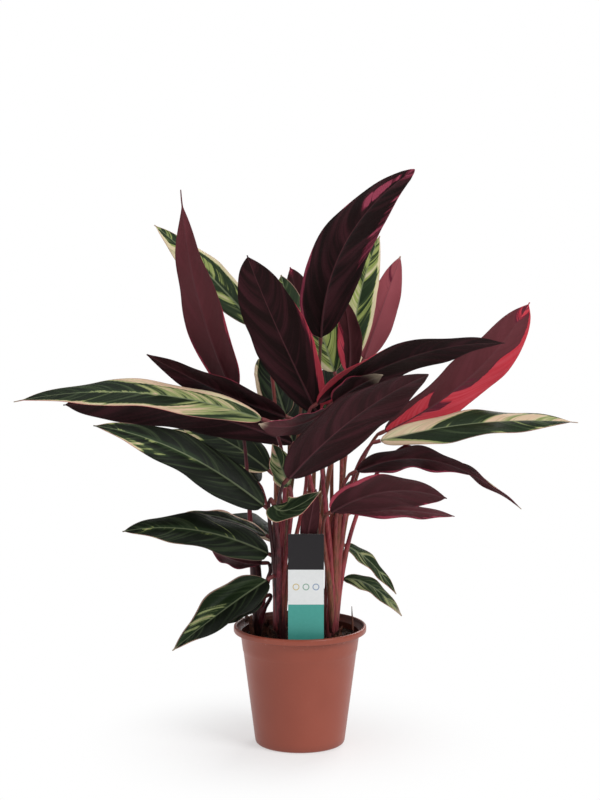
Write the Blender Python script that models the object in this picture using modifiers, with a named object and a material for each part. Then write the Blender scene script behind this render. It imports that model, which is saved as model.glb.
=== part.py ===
# A potted three-coloured prayer plant: a plastic nursery pot, its soil, six leafy shoots and their blades.
# Metres, +Z up. The origin is the centre of the pot's flat underside, and -Y is the side facing the viewer.

import math
import random
from collections import namedtuple

import bmesh
import bpy
from mathutils import Vector

MM = 0.001
CLEARANCE = 0.0003

# The pot, a 17 cm nursery pot
POT_HEIGHT = 0.154
FOOT_RADIUS = 0.0575
WALL_TOP_RADIUS = 0.0768
RIM_RADIUS = 0.0853
RIM_HEIGHT = 0.008
POT_WALL = 0.0014
POT_SIDES = 44
DRAIN_HOLES = 6
DRAIN_HOLE_RADIUS = 0.0045
DRAIN_RING_RADIUS = 0.041

# The soil and what stands in it
SOIL_TOP = 0.140
SOIL_LUMPS = 0.0025
SOIL_SIDES = 36
STEM_DEPTH = 0.035
HOLE_CLEARANCE = 0.0006
STUB_PLACE = (0.0675, 0.000)
STUB_TOP = 0.178
STUB_RADIUS = 0.0018
STUB_TOP_RADIUS = 0.0007

# The plant label
LABEL_WIDTH = 0.045
LABEL_TOP = 0.2845
LABEL_TIP = 0.092
LABEL_SHOULDER = 0.126
LABEL_THICKNESS = 0.0009
LABEL_PLACE = (0.0075, -0.062)

# Stems and blades
CROWN_RADIUS = 0.0088
CROWN_TOP_RADIUS = 0.0062
STALK_RADIUS = 0.0036
STALK_TOP_RADIUS = 0.0021
STALK_STEPS = 7
JOINT_RADIUS = 0.0026
JOINT_LENGTH = 0.011
BLADE_THICKNESS = 0.0009
RIB_THICKNESS = 0.0022
BLADE_FOOT_WIDTH = 0.0050
BLADE_TIP_WIDTH = 0.0016
POINT_SLOPE = 1.1
FOLD = 0.22
DROOP = 0.26
RIPPLES = 2.4
SEGMENT_LENGTH = 0.024

# Each shoot, in millimetres: where it leaves the soil, how high above the soil its crown of sheaths ends,
# and how far sideways it leans up to there
Shoot = namedtuple("Shoot", "x y crown lean_x lean_y")
SHOOTS = {
    "left": Shoot(-52, 14, 130, -9, 2),
    "front": Shoot(-26, -22, 160, -2, -6),
    "right": Shoot(41, -12, 150, 6, -4),
    "middle": Shoot(10, 14, 180, 2, -4),
    "rear_left": Shoot(-26, 46, 140, -4, 6),
    "rear_right": Shoot(38, 44, 140, 5, 5),
}

# Each blade, in millimetres and degrees: its shoot, the place where it joins its stalk, its tip, how far the
# middle of its midrib stands off the straight line between the two, the way its upper side faces (its
# bearing, 0 = +X and 90 = +Y, then its height), its width, how strongly its edge waves, how fast it narrows
# to its tip (a small number gives a blunt tip) and to its foot, how wide the end of a rolled tip is, and the
# share of its length that is drawn out to a drip tip
Blade = namedtuple(
    "Blade",
    "shoot foot tip bow faces width wave taper base blunt tail",
    defaults=(0.76, 0.55, 0, 0.015),
)
BLADES = {
    "blade_01": Blade(
        "left", (-85, 18, 453), (-149, -10, 712),
        (-12, -10, 0), (60, 20), 62, 3, 0.92, 0.5, 0, 0.08,
    ),
    "blade_02": Blade("rear_left", (-57, 30, 538), (-189, 90, 663), (0, 0, 6), (-70, 35), 50, 2, 0.90),
    "blade_03": Blade("middle", (22, -60, 437), (-63, -150, 639), (-7, 10, 8), (80, 25), 76, 2, 0.60),
    "blade_04": Blade(
        "middle", (26, -20, 528), (138, -110, 740),
        (-26, 0, 16), (110, 30), 78, 2, 0.76, 0.5, 13,
    ),
    "blade_05": Blade("rear_right", (68, 20, 497), (103, 70, 650), (-9, 0, 0), (-100, 25), 46, 2),
    "blade_06": Blade("rear_right", (83, 60, 492), (131, 100, 622), (0, 0, 0), (100, 10), 44, 2),
    "blade_07": Blade("middle", (62, -12, 482), (55, -12, 576), (4, 0, 0), (80, 10), 32, 2),
    "blade_08": Blade("rear_left", (0, 50, 465), (-25, 120, 596), (0, 0, 10), (-100, 30), 48, 2),
    "blade_09": Blade("middle", (-19, 2, 424), (-191, -46, 509), (0, 4, -5), (80, 30), 46, 3, 0.80, 0.55, 3),
    "blade_10": Blade(
        "front", (-48, -62, 430), (-352, -90, 455),
        (0, 0, 22), (-90, 64), 64, 3, 0.78, 0.5, 0, 0.04,
    ),
    "blade_11": Blade("front", (-10, -22, 394), (-297, -36, 444), (0, 0, 19), (90, 26), 60, 3, 0.44),
    "blade_12": Blade(
        "front", (-45, -80, 324), (-250, -135, 432),
        (0, 0, 18), (-100, 47), 62, 3, 0.85, 0.45,
    ),
    "blade_13": Blade("front", (-40, -40, 255), (-220, -90, 293), (0, 0, 16), (-95, 46), 54, 4, 0.74, 0.42),
    "blade_14": Blade("left", (-44, -4, 272), (-152, -8, 300), (0, 0, 9), (-90, 74), 38, 2),
    "blade_15": Blade("front", (-42, -45, 222), (-158, -110, 147), (0, 0, 3), (-120, 45), 52, 3, 0.90, 0.45),
    "blade_16": Blade("left", (-48, -20, 194), (-112, -50, 163), (0, 0, 3), (-100, 60), 36, 2),
    "blade_17": Blade(
        "front", (-32, -112, 330), (25, -150, 354),
        (-10, 0, -14), (-90, 50), 38, 2, 0.70, 0.45,
    ),
    "blade_18": Blade(
        "front", (-14, -95, 361), (152, -190, 501),
        (0, 0, 15), (100, 40), 80, 3, 0.76, 0.55, 9,
    ),
    "blade_19": Blade("right", (22, -72, 451), (247, -130, 532), (0, 0, 21), (95, 50), 66, 3, 0.84),
    "blade_20": Blade("right", (42, -75, 453), (101, -110, 491), (0, 0, 4), (90, 50), 42, 2),
    "blade_21": Blade("right", (110, 40, 400), (290, 0, 570), (15, 0, -13), (100, 30), 70, 3, 0.48),
    "blade_22": Blade(
        "right", (102, -30, 398), (350, -30, 421),
        (0, 0, 11), (-90, 64), 60, 3, 0.76, 0.5, 0, 0.04,
    ),
    "blade_23": Blade(
        "right", (144, -15, 386), (278, -50, 314),
        (0, 0, 10), (95, 62), 34, 3, 0.95, 0.55, 0, 0.03,
    ),
    "blade_24": Blade("right", (40, -60, 313), (177, -160, 347), (0, 0, 18), (90, 38), 68, 2, 0.58),
    "blade_25": Blade("right", (57, -30, 307), (190, -110, 316), (0, 0, 6), (90, 50), 48, 2),
    "blade_26": Blade("rear_right", (58, 30, 252), (126, 50, 183), (0, 0, 10), (-60, 50), 25, 2),
    "blade_27": Blade("right", (56, 0, 214), (130, -20, 170), (0, 0, 14), (-60, 50), 26, 2),
    "blade_28": Blade("front", (-14, -70, 347), (-34, -100, 404), (0, 0, 0), (-60, 20), 36, 2),
    "blade_29": Blade("right", (31, -80, 442), (-49, -190, 442), (0, 0, -10), (130, 35), 34, 2),
    "blade_30": Blade("rear_left", (-19, 35, 422), (-48, 75, 508), (0, 0, 0), (-80, 30), 44, 2),
    "blade_31": Blade("rear_left", (-41, 40, 349), (-158, 90, 401), (0, 0, 10), (-80, 40), 60, 2),
    "blade_32": Blade("middle", (44, 34, 478), (6, 44, 590), (0, 0, 0), (-90, 20), 50, 2),
    "blade_33": Blade("middle", (7, -52, 266), (20, -66, 342), (0, 0, 0), (90, 10), 22, 1),
    "blade_34": Blade("rear_left", (-10, 60, 380), (-45, 270, 470), (0, 0, 30), (-80, 65), 70, 3),
    "blade_35": Blade("rear_right", (45, 60, 400), (90, 260, 488), (0, 0, 30), (-110, 60), 72, 3),
    "blade_36": Blade("rear_left", (-55, 55, 330), (-190, 220, 370), (0, 0, 30), (-50, 60), 70, 3),
    "blade_37": Blade("rear_right", (48, 55, 282), (140, 210, 304), (0, 0, 22), (-120, 60), 60, 3),
    "blade_38": Blade("rear_left", (-30, 60, 250), (-140, 190, 250), (0, 0, 22), (-50, 60), 60, 3),
    "blade_39": Blade("rear_right", (20, 60, 230), (30, 220, 200), (0, 0, 26), (-90, 60), 54, 3),
    "blade_40": Blade("rear_right", (16, 74, 470), (-13, 150, 604), (0, 0, 8), (80, 30), 60, 3),
    "blade_41": Blade("right", (72, -40, 361), (221, -46, 355), (0, 0, 20), (95, 42), 46, 4),
    "blade_42": Blade("left", (-50, -6, 236), (-112, -44, 262), (0, 0, -5), (90, 50), 38, 2),
}


def clear_scene():
    for obj in list(bpy.data.objects):
        bpy.data.objects.remove(obj, do_unlink=True)


def new_collection(name):
    collection = bpy.data.collections.new(name)
    bpy.context.scene.collection.children.link(collection)
    return collection


def principled(name, color, roughness):
    material = bpy.data.materials.new(name)
    material.use_nodes = True
    shader = material.node_tree.nodes["Principled BSDF"]
    shader.inputs["Base Color"].default_value = (*color, 1.0)
    shader.inputs["Roughness"].default_value = roughness
    shader.inputs["Metallic"].default_value = 0.0
    return material


def add_object(name, mesh, collection, material=None):
    obj = bpy.data.objects.new(name, mesh)
    collection.objects.link(obj)
    if material:
        mesh.materials.clear()
        mesh.materials.append(material)
    return obj


def evaluated_mesh(obj):
    """A mesh of obj with its modifiers applied and its loose caps joined on."""
    bpy.context.view_layer.update()
    graph = bpy.context.evaluated_depsgraph_get()
    mesh = bpy.data.meshes.new_from_object(obj.evaluated_get(graph))
    joined = bmesh.new()
    joined.from_mesh(mesh)
    bmesh.ops.remove_doubles(joined, verts=joined.verts, dist=1e-6)
    bmesh.ops.recalc_face_normals(joined, faces=joined.faces)
    joined.to_mesh(mesh)
    joined.free()
    return mesh


def turned(name, profile, sides, collection, material=None):
    """A solid of revolution about Z from (radius, height) points, listed down its outside first."""
    mesh = bpy.data.meshes.new(name)
    outline = bmesh.new()
    points = [outline.verts.new((radius, 0.0, height)) for radius, height in profile]
    for first, second in zip(points, points[1:]):
        outline.edges.new((first, second))
    if profile[0][0] > 0:
        outline.edges.new((points[-1], points[0]))
    outline.to_mesh(mesh)
    outline.free()
    obj = add_object(name, mesh, collection, material)
    screw = obj.modifiers.new("Turn", "SCREW")
    screw.axis = "Z"
    screw.steps = sides
    screw.render_steps = sides
    screw.use_merge_vertices = True
    screw.merge_threshold = 0.00005
    screw.use_smooth_shade = True
    return obj


def cut(obj, cutter):
    modifier = obj.modifiers.new("Cut " + cutter.name, "BOOLEAN")
    modifier.operation = "DIFFERENCE"
    modifier.solver = "EXACT"
    modifier.object = cutter
    cutter.hide_render = True
    cutter.display_type = "WIRE"


def pin(name, place, low, high, radii, sides, collection, material=None):
    """An upright cylinder or cone; radii are those of its lower and upper ends."""
    mesh = bpy.data.meshes.new(name)
    shape = bmesh.new()
    bmesh.ops.create_cone(
        shape, cap_ends=True, segments=sides, radius1=radii[0], radius2=radii[1], depth=high - low
    )
    bmesh.ops.translate(shape, verts=shape.verts, vec=(*place, (low + high) / 2))
    shape.to_mesh(mesh)
    shape.free()
    return add_object(name, mesh, collection, material)


def outer_radius(height):
    """The outside of the pot's tapered wall at a height."""
    return FOOT_RADIUS + (WALL_TOP_RADIUS - FOOT_RADIUS) * height / (POT_HEIGHT - RIM_HEIGHT)


def inner_radius(height):
    return outer_radius(height) - POT_WALL


def make_pot(parts, cutters):
    under_rim = POT_HEIGHT - RIM_HEIGHT
    profile = [
        (RIM_RADIUS - 0.0012, POT_HEIGHT),
        (RIM_RADIUS, POT_HEIGHT - 0.0012),
        (RIM_RADIUS, under_rim + 0.0008),
        (RIM_RADIUS - 0.0010, under_rim),
        (WALL_TOP_RADIUS, under_rim),
        (outer_radius(0.003), 0.003),
        (FOOT_RADIUS - 0.0026, 0.0),
        (0.0, 0.0),
        (0.0, POT_WALL),
        (FOOT_RADIUS - 0.0050, POT_WALL),
        (inner_radius(0.006), 0.006),
        (inner_radius(under_rim), under_rim),
        (RIM_RADIUS - 0.0046, POT_HEIGHT - 0.0035),
        (RIM_RADIUS - 0.0036, POT_HEIGHT),
    ]
    plastic = principled("pot_plastic", (0.52, 0.16, 0.09), 0.5)
    pot = turned("pot", profile, POT_SIDES, parts, plastic)
    for index in range(DRAIN_HOLES):
        angle = math.tau * (index + 0.5) / DRAIN_HOLES
        place = (DRAIN_RING_RADIUS * math.cos(angle), DRAIN_RING_RADIUS * math.sin(angle))
        radii = (DRAIN_HOLE_RADIUS, DRAIN_HOLE_RADIUS)
        cut(pot, pin(f"drain_hole_{index + 1}", place, -0.005, 0.006, radii, 10, cutters))


def label_solid(name, grow, collection, material=None):
    """The label's flat stake outline, grown outwards all round by the given amount."""
    side = [
        (LABEL_WIDTH / 2 + grow, LABEL_TOP + grow),
        (LABEL_WIDTH / 2 + grow, LABEL_SHOULDER - grow),
        (LABEL_WIDTH / 5 + grow, LABEL_TIP - grow),
    ]
    corners = side + [(-x, z) for x, z in reversed(side)]
    outline = bpy.data.curves.new(name, "CURVE")
    outline.dimensions = "2D"
    outline.fill_mode = "BOTH"
    outline.extrude = LABEL_THICKNESS / 2 + grow
    spline = outline.splines.new("POLY")
    spline.points.add(len(corners) - 1)
    for point, (x, z) in zip(spline.points, corners):
        point.co = (x, z, 0.0, 1.0)
    spline.use_cyclic_u = True
    flat = bpy.data.objects.new(name + "_outline", outline)
    collection.objects.link(flat)
    flat.location = (*LABEL_PLACE, 0.0)
    flat.rotation_euler = (math.radians(90), 0.0, 0.0)
    mesh = evaluated_mesh(flat)
    mesh.transform(flat.matrix_world)
    bpy.data.objects.remove(flat)
    return add_object(name, mesh, collection, material)


def make_soil(parts, cutters):
    floor = POT_WALL + CLEARANCE
    gap = CLEARANCE + 0.0002
    shoulder = SOIL_TOP - 0.004
    profile = [
        (0.0, SOIL_TOP + 0.001),
        (0.020, SOIL_TOP + 0.0015),
        (0.040, SOIL_TOP + 0.001),
        (0.058, SOIL_TOP),
        (inner_radius(SOIL_TOP) - gap - 0.003, SOIL_TOP - 0.001),
        (inner_radius(shoulder) - gap, shoulder),
        (inner_radius(0.008) - gap, 0.008),
        (FOOT_RADIUS - 0.0062, floor),
        (0.0, floor),
    ]
    smooth = turned("soil_turned", profile, SOIL_SIDES, parts)
    mesh = evaluated_mesh(smooth)
    bpy.data.objects.remove(smooth)
    lumps = random.Random(17)
    for vertex in mesh.vertices:
        if vertex.co.z > SOIL_TOP - 0.002:
            vertex.co.z += lumps.uniform(-SOIL_LUMPS, SOIL_LUMPS)
    soil = add_object("soil", mesh, parts, principled("potting_soil", (0.035, 0.024, 0.018), 0.95))
    low, high = SOIL_TOP - STEM_DEPTH - CLEARANCE, SOIL_TOP + 0.02
    for name, shoot in SHOOTS.items():
        radius = CROWN_RADIUS + HOLE_CLEARANCE
        place = (shoot.x * MM, shoot.y * MM)
        cut(soil, pin(f"hole_{name}", place, low, high, (radius, radius), 12, cutters))
    radius = STUB_RADIUS + HOLE_CLEARANCE
    cut(soil, pin("hole_stub", STUB_PLACE, low, high, (radius, radius), 6, cutters))
    cut(soil, label_solid("label_slot", CLEARANCE, cutters))


def make_stub(parts):
    """The dry end of an old stalk, cut off above the soil."""
    radii = (STUB_RADIUS, STUB_TOP_RADIUS)
    dry = principled("dry_stalk", (0.16, 0.08, 0.05), 0.8)
    pin("dry_stub", STUB_PLACE, SOIL_TOP - STEM_DEPTH, STUB_TOP, radii, 6, parts, dry)


def midrib(blade, s):
    """The point on the blade's midrib at s, 0 at its foot and 1 at its tip."""
    foot, tip, bow = Vector(blade.foot) * MM, Vector(blade.tip) * MM, Vector(blade.bow) * MM
    return foot + (tip - foot) * s + bow * 4 * s * (1 - s)


def midrib_direction(blade, s):
    foot, tip, bow = Vector(blade.foot), Vector(blade.tip), Vector(blade.bow)
    return ((tip - foot) + bow * 4 * (1 - 2 * s)).normalized()


def half_width(blade, s):
    """A lance-shaped outline: rounded at the foot, pointed at the tip and drawn out to a drip tip."""
    length = (Vector(blade.tip) - Vector(blade.foot)).length * MM
    q = min(s / (1 - blade.tail), 1.0)
    widest = blade.base / (blade.base + blade.taper)
    body = blade.width * MM / 2 * (q / widest) ** blade.base * ((1 - q) / (1 - widest)) ** blade.taper
    point = POINT_SLOPE * length * (1 - q) + MM
    body /= (1 + (body / point) ** 3) ** (1 / 3)
    rolled = blade.blunt * MM * min(1.0, (1 - s) / 0.05) ** 0.5
    least = BLADE_FOOT_WIDTH / 2 * (1 - s) + (BLADE_TIP_WIDTH + rolled) / 2 * s
    return math.hypot(body, least)


def row_place(u):
    """Where along the midrib a row of the sheet lies: rows crowd together at the foot and the tip."""
    return u - 0.04 * math.sin(math.tau * u)


def blade_point(blade, s, v):
    """The point of the blade's upper face at s along the midrib and v across it, -1 to 1."""
    along = midrib_direction(blade, s)
    bearing, height = (math.radians(angle) for angle in blade.faces)
    level = Vector((math.cos(bearing), math.sin(bearing), 0.0))
    faces = level * math.cos(height) + Vector((0.0, 0.0, math.sin(height)))
    normal = (faces - along * faces.dot(along)).normalized()
    across = normal.cross(along)
    half = half_width(blade, s)
    lift = half * (FOLD * abs(v) - DROOP * v * v)
    phase = math.tau * (RIPPLES * s + 0.13 * (v > 0))
    ripple = blade.wave * MM * math.sin(phase) * v * v * math.sin(math.pi * s)
    return midrib(blade, s) + across * (half * v) + normal * (lift + ripple)


def make_blade(name, blade, parts, material):
    length = (Vector(blade.tip) - Vector(blade.foot)).length * MM
    rows = max(7, round(length / SEGMENT_LENGTH))
    sheet = bmesh.new()
    bmesh.ops.create_grid(sheet, x_segments=rows, y_segments=4, size=1.0)
    bmesh.ops.triangulate(sheet, faces=sheet.faces)
    places = [(row_place((vertex.co.x + 1) / 2), vertex.co.y) for vertex in sheet.verts]
    for vertex, (s, v) in zip(sheet.verts, places):
        vertex.co = blade_point(blade, s, v)
    mesh = bpy.data.meshes.new(name)
    sheet.to_mesh(mesh)
    sheet.free()
    obj = add_object(name, mesh, parts, material)
    thickness = obj.vertex_groups.new(name="thickness")
    for index, (s, v) in enumerate(places):
        rib = RIB_THICKNESS + (BLADE_THICKNESS - RIB_THICKNESS) * s
        depth = rib if abs(v) < 0.01 else BLADE_THICKNESS
        thickness.add([index], depth / RIB_THICKNESS, "REPLACE")
    solid = obj.modifiers.new("Thickness", "SOLIDIFY")
    solid.thickness = RIB_THICKNESS
    solid.offset = -1.0
    solid.vertex_group = "thickness"


def crown_path(shoot):
    """The crown's foot in the soil, the place where it comes out, and its leaning top."""
    foot = Vector((shoot.x * MM, shoot.y * MM, SOIL_TOP - STEM_DEPTH))
    out = Vector((shoot.x * MM, shoot.y * MM, SOIL_TOP + 0.006))
    top = out + Vector((shoot.lean_x, shoot.lean_y, shoot.crown)) * MM
    return [foot, out, top]


def stalk_path(shoot, blade):
    """Points and radii along one stalk, from inside its shoot's crown to the blade's foot."""
    _, out, top = crown_path(shoot)
    root = out + Vector((0.0, 0.0, 0.002))
    foot = Vector(blade.foot) * MM
    outwards = Vector((foot.x - root.x, foot.y - root.y, 0.0)).normalized()
    start = root + outwards * (CROWN_RADIUS - STALK_RADIUS - 0.0006)
    aim = midrib_direction(blade, 0.0)
    collar = foot - aim * JOINT_LENGTH
    reach = (collar - start).length
    arriving = (aim + (collar - start).normalized()).normalized()
    first = start + (top - out).normalized() * 0.45 * reach
    second = collar - arriving * 0.22 * reach
    points, radii = [], []
    for index in range(STALK_STEPS + 1):
        t = index / STALK_STEPS
        a, b, c, d = (1 - t) ** 3, 3 * t * (1 - t) ** 2, 3 * t * t * (1 - t), t ** 3
        points.append(start * a + first * b + second * c + collar * d)
        radii.append(STALK_RADIUS + (STALK_TOP_RADIUS - STALK_RADIUS) * t ** 0.6)
    for share in (0.35, 1.0):
        points.append(collar + aim * (JOINT_LENGTH - CLEARANCE) * share)
        radii.append(JOINT_RADIUS)
    return points, radii


def tube(name, points, radii, collection, bevel_resolution=1):
    """A round rod with a radius of its own at each point; 4 + 2 * bevel_resolution sides."""
    path = bpy.data.curves.new(name, "CURVE")
    path.dimensions = "3D"
    path.bevel_depth = 1.0
    path.bevel_resolution = bevel_resolution
    path.use_fill_caps = True
    spline = path.splines.new("POLY")
    spline.points.add(len(points) - 1)
    for point, place, radius in zip(spline.points, points, radii):
        point.co = (*place, 1.0)
        point.radius = radius
    curve = bpy.data.objects.new(name + "_path", path)
    collection.objects.link(curve)
    mesh = evaluated_mesh(curve)
    bpy.data.objects.remove(curve)
    return add_object(name, mesh, collection)


def make_shoot(name, shoot, parts, material):
    """One shoot: its crown of sheaths with every stalk fused in."""
    radii = (CROWN_RADIUS, CROWN_RADIUS, CROWN_TOP_RADIUS)
    stem = tube("shoot_" + name, crown_path(shoot), radii, parts, bevel_resolution=4)
    stalks = new_collection("stalks_" + name)
    for blade_name, blade in BLADES.items():
        if blade.shoot == name:
            points, radii = stalk_path(shoot, blade)
            tube("stalk_" + blade_name, points, radii, stalks)
    union = stem.modifiers.new("Fuse", "BOOLEAN")
    union.operation = "UNION"
    union.solver = "EXACT"
    union.operand_type = "COLLECTION"
    union.collection = stalks
    fused = evaluated_mesh(stem)
    stem.modifiers.clear()
    stem.data = fused
    for stalk in list(stalks.objects):
        bpy.data.objects.remove(stalk)
    bpy.data.collections.remove(stalks)
    fused.materials.clear()
    fused.materials.append(material)


def main():
    clear_scene()
    parts = new_collection("Prayer plant")
    cutters = new_collection("Cutters")
    make_pot(parts, cutters)
    make_soil(parts, cutters)
    make_stub(parts)
    label_solid("label", 0.0, parts, principled("label_card", (0.10, 0.42, 0.36), 0.4))
    sheath = principled("stem", (0.30, 0.09, 0.09), 0.45)
    for name, shoot in SHOOTS.items():
        make_shoot(name, shoot, parts, sheath)
    leaf = principled("leaf", (0.10, 0.16, 0.08), 0.4)
    for name, blade in BLADES.items():
        make_blade(name, blade, parts, leaf)


main()
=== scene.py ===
import math
import random
from collections import namedtuple

import bmesh
import bpy
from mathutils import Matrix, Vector, noise


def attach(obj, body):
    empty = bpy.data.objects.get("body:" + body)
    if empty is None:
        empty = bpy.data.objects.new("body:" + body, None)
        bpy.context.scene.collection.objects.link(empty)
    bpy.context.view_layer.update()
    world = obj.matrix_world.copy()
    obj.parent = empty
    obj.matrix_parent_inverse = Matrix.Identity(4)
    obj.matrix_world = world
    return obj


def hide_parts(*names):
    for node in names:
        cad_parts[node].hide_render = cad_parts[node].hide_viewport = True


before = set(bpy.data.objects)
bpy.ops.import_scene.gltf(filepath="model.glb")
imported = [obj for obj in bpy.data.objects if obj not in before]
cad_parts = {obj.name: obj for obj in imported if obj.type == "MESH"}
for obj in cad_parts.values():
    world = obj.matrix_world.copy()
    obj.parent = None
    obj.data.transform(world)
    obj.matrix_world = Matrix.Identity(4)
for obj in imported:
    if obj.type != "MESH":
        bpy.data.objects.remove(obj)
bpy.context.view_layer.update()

mm = 0.001
upright = Vector((0.0, 0.0, 1.0))


# how colours are given: as seen on screen, 0 to 255
def tint(red, green, blue):
    def straight(value):
        value /= 255
        return value / 12.92 if value <= 0.04045 else ((value + 0.055) / 1.055) ** 2.4
    return (straight(red), straight(green), straight(blue), 1.0)


def smooth(low, high, value):
    t = min(max((value - low) / (high - low), 0.0), 1.0)
    return t * t * (3 - 2 * t)


# node helpers, so that a material reads as a recipe
def addNode(tree, kind, **settings):
    node = tree.nodes.new(kind)
    for key, value in settings.items():
        setattr(node, key, value)
    return node


def plug(tree, value, socket):
    if isinstance(value, bpy.types.NodeSocket):
        tree.links.new(value, socket)
    else:
        socket.default_value = value


def calc(tree, operation, *values):
    node = addNode(tree, "ShaderNodeMath", operation=operation)
    for socket, value in zip(node.inputs, values):
        plug(tree, value, socket)
    return node.outputs[0]


def times(tree, value, factor):
    return calc(tree, "MULTIPLY", value, factor)


def distance(tree, x, y):
    return calc(tree, "SQRT", calc(tree, "ADD", calc(tree, "POWER", x, 2.0), calc(tree, "POWER", y, 2.0)))


def rise(tree, value, low, high, start=0.0, end=1.0):
    node = addNode(tree, "ShaderNodeMapRange", interpolation_type="SMOOTHSTEP")
    settings = {"Value": value, "From Min": low, "From Max": high, "To Min": start, "To Max": end}
    for key, setting in settings.items():
        plug(tree, setting, node.inputs[key])
    return node.outputs["Result"]


def mixColor(tree, share, first, second):
    node = addNode(tree, "ShaderNodeMix", data_type="RGBA")
    plug(tree, share, node.inputs[0])
    plug(tree, first, node.inputs[6])
    plug(tree, second, node.inputs[7])
    return node.outputs[2]


def together(tree, x, y, z):
    node = addNode(tree, "ShaderNodeCombineXYZ")
    for socket, value in zip(node.inputs, (x, y, z)):
        plug(tree, value, socket)
    return node.outputs[0]


def apart(tree, vector):
    node = addNode(tree, "ShaderNodeSeparateXYZ")
    plug(tree, vector, node.inputs[0])
    return node.outputs


def painted(tree, name):
    return apart(tree, addNode(tree, "ShaderNodeAttribute", attribute_name=name).outputs["Vector"])


def grain(tree, vector, scale=1.0, detail=2.0, roughness=0.5):
    node = addNode(tree, "ShaderNodeTexNoise")
    plug(tree, vector, node.inputs["Vector"])
    plug(tree, scale, node.inputs["Scale"])
    plug(tree, detail, node.inputs["Detail"])
    plug(tree, roughness, node.inputs["Roughness"])
    return node.outputs["Fac"]


def relief(tree, height, depth, strength=1.0):
    node = addNode(tree, "ShaderNodeBump")
    node.inputs["Strength"].default_value = strength
    node.inputs["Distance"].default_value = depth
    plug(tree, height, node.inputs["Height"])
    return node.outputs["Normal"]


def startMaterial(name, **fixed):
    material = bpy.data.materials.new(name)
    material.use_nodes = True
    shader = material.node_tree.nodes["Principled BSDF"]
    for key, value in fixed.items():
        shader.inputs[key.replace("_", " ")].default_value = value
    return material, material.node_tree, shader


# mesh helpers
def pieceFrom(shape, name, materials, slotName, *nodes):
    mesh = bpy.data.meshes.new(name)
    shape.to_mesh(mesh)
    shape.free()
    mesh.shade_smooth()
    for material in materials:
        mesh.materials.append(material)
    piece = bpy.data.objects.new(name, mesh)
    bpy.context.scene.collection.objects.link(piece)
    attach(piece, "root")
    if nodes:
        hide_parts(*nodes)
    return piece


def paintPoints(mesh, name, values):
    attribute = mesh.attributes.new(name, "FLOAT_VECTOR", "POINT")
    attribute.data.foreach_set("vector", [number for value in values for number in value])


def pushOut(piece, name, kind, **settings):
    modifier = piece.modifiers.new(name, kind)
    for key, value in settings.items():
        setattr(modifier, key, value)
    return modifier


# camera, light and floor
studio = {
    "cameraPlace": (0.0, -2.7767, 0.80624),
    "cameraPitch": 82.6,
    "lens": 99.2,
    "floorRadius": 9.0,
    "roomLight": 0.36,
    "backdrop": 1.0,
    "aim": (0.0, 0.0, 0.35),
    "lamps": {  # place, size and power
        "key light": ((1.6, -1.5, 1.7), 1.2, 40),
        "top light": ((-0.2, -0.2, 2.3), 1.5, 14),
        "fill light": ((-2.0, -1.8, 1.0), 1.4, 7),
        "rim light": ((0.9, 2.0, 1.5), 1.2, 20),
    },
}


def setCamera():
    lens = bpy.data.cameras.new("camera")
    lens.lens = studio["lens"]
    lens.sensor_width = 36.0
    lens.clip_end = 50.0
    camera = bpy.data.objects.new("camera", lens)
    camera.location = studio["cameraPlace"]
    camera.rotation_euler = (math.radians(studio["cameraPitch"]), 0.0, 0.0)
    bpy.context.scene.collection.objects.link(camera)
    bpy.context.scene.camera = camera


def softLamp(name, place, size, power):
    lamp = bpy.data.lights.new(name, "AREA")
    lamp.shape = "RECTANGLE"
    lamp.size = lamp.size_y = size
    lamp.energy = power
    stand = bpy.data.objects.new(name, lamp)
    stand.location = place
    stand.rotation_euler = (Vector(studio["aim"]) - Vector(place)).to_track_quat("-Z", "Y").to_euler()
    bpy.context.scene.collection.objects.link(stand)


def setLight():
    world = bpy.data.worlds.new("studio")
    bpy.context.scene.world = world
    world.use_nodes = True
    tree = world.node_tree
    tree.nodes.clear()
    room = addNode(tree, "ShaderNodeBackground")
    room.inputs["Color"].default_value = (1.0, 1.0, 1.0, 1.0)
    room.inputs["Strength"].default_value = studio["roomLight"]
    seen = addNode(tree, "ShaderNodeBackground")
    seen.inputs["Color"].default_value = (1.0, 1.0, 1.0, 1.0)
    seen.inputs["Strength"].default_value = studio["backdrop"]
    path = addNode(tree, "ShaderNodeLightPath")
    mixed = addNode(tree, "ShaderNodeMixShader")
    plug(tree, path.outputs["Is Camera Ray"], mixed.inputs[0])
    plug(tree, room.outputs[0], mixed.inputs[1])
    plug(tree, seen.outputs[0], mixed.inputs[2])
    output = addNode(tree, "ShaderNodeOutputWorld")
    plug(tree, mixed.outputs[0], output.inputs["Surface"])
    for name, (place, size, power) in studio["lamps"].items():
        softLamp(name, place, size, power)


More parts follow.
